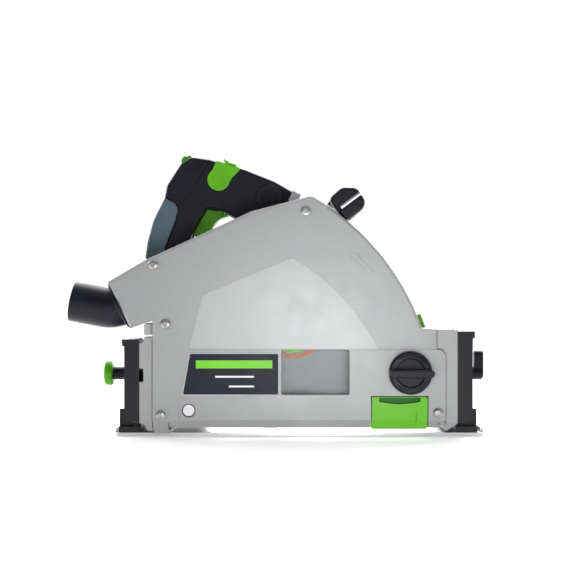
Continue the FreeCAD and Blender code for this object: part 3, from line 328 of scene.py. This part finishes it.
# %% [markdown]
# ### Which part gets which finish
# The parts that the eye meets are rounded, each over a width in millimetres that suits how it was
# made: a casting is softer than a stamped or turned piece. What sits inside keeps its CAD mesh.

# %% Which part gets which finish
ROUNDED = {
    "guard_cover": (silver_paint, 0.45), "guard_back": (silver_paint, 0.3),
    "duct_housing": (silver_paint, 0.5), "front_carrier": (silver_paint, 0.45),
    "rear_carrier": (silver_paint, 0.45), "front_segment": (cast_black, 0.5),
    "rear_segment": (cast_black, 0.5), "gear_housing": (cast_black, 0.4),
    "gear_cover": (cast_black, 0.4), "pivot_bracket": (cast_black, 0.4),
    "motor_housing": (black_plastic, 0.3), "motor_end_cap": (black_plastic, 0.3),
    "handle_left": (black_plastic, 0.35), "handle_right": (black_plastic, 0.35),
    "handle_rubber": (soft_grip, 0.6), "front_handle": (black_plastic, 0.4),
    "duct_collar": (black_plastic, 0.3), "dust_port": (black_plastic, 0.5),
    "trigger": (green_plastic, 0.7), "release_slide": (green_plastic, 0.6),
    "lock_lever": (green_plastic, 0.4), "depth_stop": (green_plastic, 0.6),
    "splinter_guard": (green_plastic, 0.4), "splinter_knob": (black_plastic, 0.4),
    "rear_clamp_knob": (green_plastic, 0.4), "front_clamp_lever": (black_plastic, 0.5),
    "speed_dial": (green_plastic, 0.4), "front_guide_cam": (green_plastic, 0.4),
    "rear_guide_cam": (green_plastic, 0.4), "power_inlet": (black_plastic, 0.4),
    "base_plate": (plate_metal, 0.35), "rear_post": (grey_plastic, 0.6),
    "label_plate": (label_navy, 0.1), "cover_screws": (screw_steel, 0.12),
    "hex_key": (steel, 0.2), "depth_scale": (plate_metal, 0.2),
    "stop_finger": (steel, 0.3), "saw_unit_screws": (screw_steel, 0.1),
    "segment_screws": (screw_steel, 0.1), "blade_screw": (dark_steel, 0.2),
}
KEPT = {
    "angle_scale": plate_metal, "pivot_pin": steel, "plunge_spring": dark_steel,
    "sight_window": clear, "stator": copper, "brush_holders": grey_plastic,
    "motor_bearings": steel, "spindle_bearings": steel, "motor_shaft": steel,
    "armature_core": dark_steel, "commutator": copper, "fan": black_plastic,
    "saw_blade": blade_steel, "inner_flange": steel, "outer_flange": steel, "spindle": steel,
    "spindle_gear": steel, "riving_knife": steel, "switch_block": grey_plastic,
    "electronics_module": circuit_potting,
}
shown = {node: dressed(node, *how) for node, how in ROUNDED.items()}
for node, material in KEPT.items():
    for slot in frame["nodes"][node].material_slots:
        slot.material = material
print(len(shown), "rounded,", len(KEPT), "kept, left over:", set(BODY_OF) - set(shown) - set(KEPT))

# %% [markdown]
# ### Parts in two finishes
# The rear clamp knob is a green knurled disc on a black stem, and the splinter guard's recessed pull
# is painted a darker green, painted shade for the recess. Each is one solid, so its faces are sorted
# by where their middle lies. The pressed panels of the guard are sorted by their depth below its face
# and get the lighter silver, a painted highlight.

# %% Second finishes


def second_finish(node, material, chosen):
    """Gives the faces whose middle is chosen another finish."""
    data = shown[node].data
    data.materials.append(material)
    for face in data.polygons:
        if chosen(face.center):
            face.material_index = 1


def corners(node):
    return (Vector(corner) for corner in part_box(node))


KNOB_LOW, KNOB_HIGH = corners("rear_clamp_knob")
DISC_EDGE = KNOB_LOW.x + 8.2 * MM
second_finish("rear_clamp_knob", black_plastic, lambda c: c.x > DISC_EDGE)
pull_low, pull_high = corners("splinter_guard")
# The recessed pull gets the darker green, painted shade.
second_finish("splinter_guard", recess_painted_shade_green, lambda c: (
    c.z > pull_high.z - 7.5 * MM and pull_low.y + 0.6 * MM < c.y < pull_low.y + 6 * MM
    and pull_low.x + 2 * MM < c.x < pull_high.x - 2 * MM))
FACE_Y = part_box("guard_cover")[0][1]
PANEL_DEPTH, PANEL_FOOT = 0.8 * MM, 70 * MM
# The pressed panels take the lighter silver, a painted highlight.
second_finish("guard_cover", silver_panel_painted_highlight, lambda c: (
    abs(c.y - FACE_Y - PANEL_DEPTH) < 0.1 * MM and c.z > PANEL_FOOT))
print("knob disc ends at", DISC_EDGE)

# %% [markdown]
# The knurl is a ring of small ridges round the disc: one cube, stretched along the knob's axis and
# turned to each place.

# %% Knurl on the rear clamp knob


def bar(mesh, low, high):
    """A box between two corners."""
    made = bmesh.ops.create_cube(mesh, size=1)["verts"]
    low, high = Vector(low), Vector(high)
    bmesh.ops.scale(mesh, vec=high - low, verts=made)
    bmesh.ops.translate(mesh, vec=(low + high) / 2, verts=made)
    return made


knob_middle = (KNOB_LOW + KNOB_HIGH) / 2
RIDGES, HALF_RIDGE = 36, 0.42 * MM
knurl = bmesh.new()
for k in range(RIDGES):
    made = bar(knurl, (KNOB_LOW.x + 1.8 * MM, knob_middle.y - HALF_RIDGE, KNOB_HIGH.z - 0.5 * MM),
               (DISC_EDGE - 1.6 * MM, knob_middle.y + HALF_RIDGE, KNOB_HIGH.z + 0.35 * MM))
    bmesh.ops.rotate(knurl, verts=made, cent=knob_middle,
                     matrix=Matrix.Rotation(math.tau * k / RIDGES, 3, "X"))
finished("rear_clamp_knurl", knurl, green_plastic, body="rear_clamp")
print(RIDGES, "ridges at radius", KNOB_HIGH.z - knob_middle.z)

# %% [markdown]
# ## Print on the blade
# A green disc and a broken orange ring mark the blade. They are thin enamel on the near face, so they
# turn with it. One ring segment is spun, and the others are the same shape turned about the spindle.

# %% Print on the blade
NEAR_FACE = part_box("saw_blade")[0][1] - 0.02 * MM


def ring_part(mesh, inner, outer, start, sweep, y, centre, steps=12):
    """A flat piece of a ring, spun about an axis along Y."""
    one = mesh.verts.new(Vector((centre[0] + inner, y, centre[2])))
    two = mesh.verts.new(Vector((centre[0] + outer, y, centre[2])))
    edge = mesh.edges.new((one, two))
    bmesh.ops.rotate(mesh, verts=[one, two], cent=centre,
                     matrix=Matrix.Rotation(-start, 3, "Y"))
    bmesh.ops.spin(mesh, geom=[one, two, edge], cent=centre, axis=(0, -1, 0), angle=sweep,
                   steps=steps, use_merge=sweep == math.tau)


def facing_outwards(mesh):
    """Flat print looks towards -Y."""
    mesh.normal_update()
    bmesh.ops.reverse_faces(mesh, faces=[f for f in mesh.faces if f.normal.y > 0])


hub = bmesh.new()
ring_part(hub, 18.5 * MM, 27.6 * MM, 0, math.tau, NEAR_FACE, SPINDLE, 48)
facing_outwards(hub)
finished("blade_print_disc", hub, print_green, body="blade")
band = bmesh.new()
SEGMENTS, GAP = 14, 0.06
PITCH = math.tau / SEGMENTS
for k in range(SEGMENTS):
    ring_part(band, 29.2 * MM, 32.8 * MM, (k + GAP) * PITCH, (1 - 2 * GAP) * PITCH,
              NEAR_FACE, SPINDLE, 5)
facing_outwards(band)
finished("blade_print_ring", band, print_orange, body="blade")
print("print in front of", NEAR_FACE)

# %% [markdown]
# ## Label
# The plate has a pale border line and three plain bars, where such plates carry words. They are thin
# slabs: a cube stretched to size, with its place in its mesh.

# %% Label border and bars
label_low, label_high = corners("label_plate")
front = label_low.y
bars = bmesh.new()
bar(bars, (label_low.x + 12 * MM, front - 0.12 * MM, label_high.z - 13.5 * MM),
    (label_high.x - 6 * MM, front + 0.05 * MM, label_high.z - 6.5 * MM))
finished("label_bar", bars, print_green, body="head")
lines = bmesh.new()
for wide, down in ((34, 20), (22, 28.5)):
    bar(lines, (label_high.x - (wide + 22) * MM, front - 0.1 * MM, label_high.z - (down + 1.6) * MM),
        (label_high.x - 22 * MM, front + 0.05 * MM, label_high.z - down * MM))
finished("label_lines", lines, print_white, body="head")
border = merged("label_plate")
bmesh.ops.delete(border, geom=[f for f in border.faces if f.normal.y > -0.9], context="FACES")
bmesh.ops.dissolve_limit(border, angle_limit=math.radians(1), verts=border.verts,
                         edges=border.edges)
inner = list(border.faces)
bmesh.ops.inset_region(border, faces=inner, thickness=0.8 * MM, use_even_offset=True,
                       use_boundary=True)
bmesh.ops.delete(border, geom=inner, context="FACES")
bmesh.ops.solidify(border, geom=list(border.faces), thickness=0.04 * MM)
bmesh.ops.translate(border, vec=(0, -0.05 * MM, 0), verts=border.verts)
finished("label_border", border, grey_plastic, body="head")
print("label", label_low, label_high)

# %% [markdown]
# ## Stage
# The floor is white enough to vanish into the background. The sky is white behind the saw and darker
# towards the viewer, so the silver face keeps its tone while every edge that turns away lights up.

# %% Stage
floor_mesh = bmesh.new()
bmesh.ops.create_grid(floor_mesh, x_segments=1, y_segments=1, size=6)
floor_data = bpy.data.meshes.new("floor")
floor_mesh.to_mesh(floor_data)
floor_mesh.free()
floor = bpy.data.objects.new("floor", floor_data)
bpy.context.scene.collection.objects.link(floor)
floor_data.transform(Matrix.Translation((0, 0, CAD_BOX[0][2] - 0.2 * MM)))
floor_paint, shader = principled("floor_paint", (0.88, 0.88, 0.88), 0.6)
shade(floor_paint, shader, noise(floor_paint, place(floor_paint), 3), (0.87, 0.87, 0.87),
      (0.89, 0.89, 0.89))
shader.inputs["Emission Color"].default_value = (1, 1, 1, 1)
shader.inputs["Emission Strength"].default_value = 0.4
floor_data.materials.append(floor_paint)

world = bpy.data.worlds.new("studio")
world.use_nodes = True
sky = world.node_tree
direction = sky.nodes.new("ShaderNodeTexCoord")
parts = sky.nodes.new("ShaderNodeSeparateXYZ")
level = sky.nodes.new("ShaderNodeMapRange")
level.interpolation_type = "SMOOTHSTEP"
level.inputs["From Min"].default_value, level.inputs["From Max"].default_value = -0.85, 0.8
level.inputs["To Min"].default_value, level.inputs["To Max"].default_value = 0.30, 1.03
sky.links.new(direction.outputs["Generated"], parts.inputs["Vector"])
sky.links.new(parts.outputs["Y"], level.inputs["Value"])
sky.nodes["Background"].inputs["Color"].default_value = (1, 1, 1, 1)
sky.links.new(level.outputs["Result"], sky.nodes["Background"].inputs["Strength"])
bpy.context.scene.world = world
bpy.context.scene.view_settings.view_transform = "Standard"
print("floor at", CAD_BOX[0][2])

# %% [markdown]
# ## Lights
# One small soft light in front picks out the lower face. A wide one behind and above draws the top
# edges, and a tall strip on each side gives the black plastic something to reflect.

# %% Lights


def softbox(name, where, towards, size, power, tall=None):
    light = bpy.data.lights.new(name, "AREA")
    light.shape = "RECTANGLE"
    light.size, light.size_y = size, tall or size
    light.energy = power
    lamp = bpy.data.objects.new(name, light)
    bpy.context.scene.collection.objects.link(lamp)
    lamp.location = where
    lamp.rotation_euler = (Vector(towards) - Vector(where)).to_track_quat("-Z", "Y").to_euler()
    return lamp


softbox("key", (0.03, -0.44, 0.075), (0.02, -0.09, 0.06), 0.14, 0.55)
softbox("rim", (0.1, 0.7, 0.85), (0, 0, 0.12), 1.3, 26)
softbox("left_strip", (-0.9, 0.25, 0.35), (-0.1, 0, 0.15), 0.3, 5, 0.9)
softbox("right_strip", (0.9, 0.45, 0.3), (0.1, 0, 0.12), 0.3, 3, 0.8)
print("lights set")

# %% [markdown]
# ## Camera
# It stands level, about a metre in front of the near face, with a long lens, so that the far pieces
# are only a little smaller than the near ones.

# %% Camera
camera_data = bpy.data.cameras.new("camera")
camera_data.sensor_width = 36
camera_data.lens = 68.9
camera_data.clip_start = 0.01
camera = bpy.data.objects.new("camera", camera_data)
camera.location = (-0.0143, -1.0425, 0.1363)
camera.rotation_euler = (math.radians(90), 0, 0)
bpy.context.scene.collection.objects.link(camera)
bpy.context.scene.camera = camera
print("camera at", tuple(camera.location))
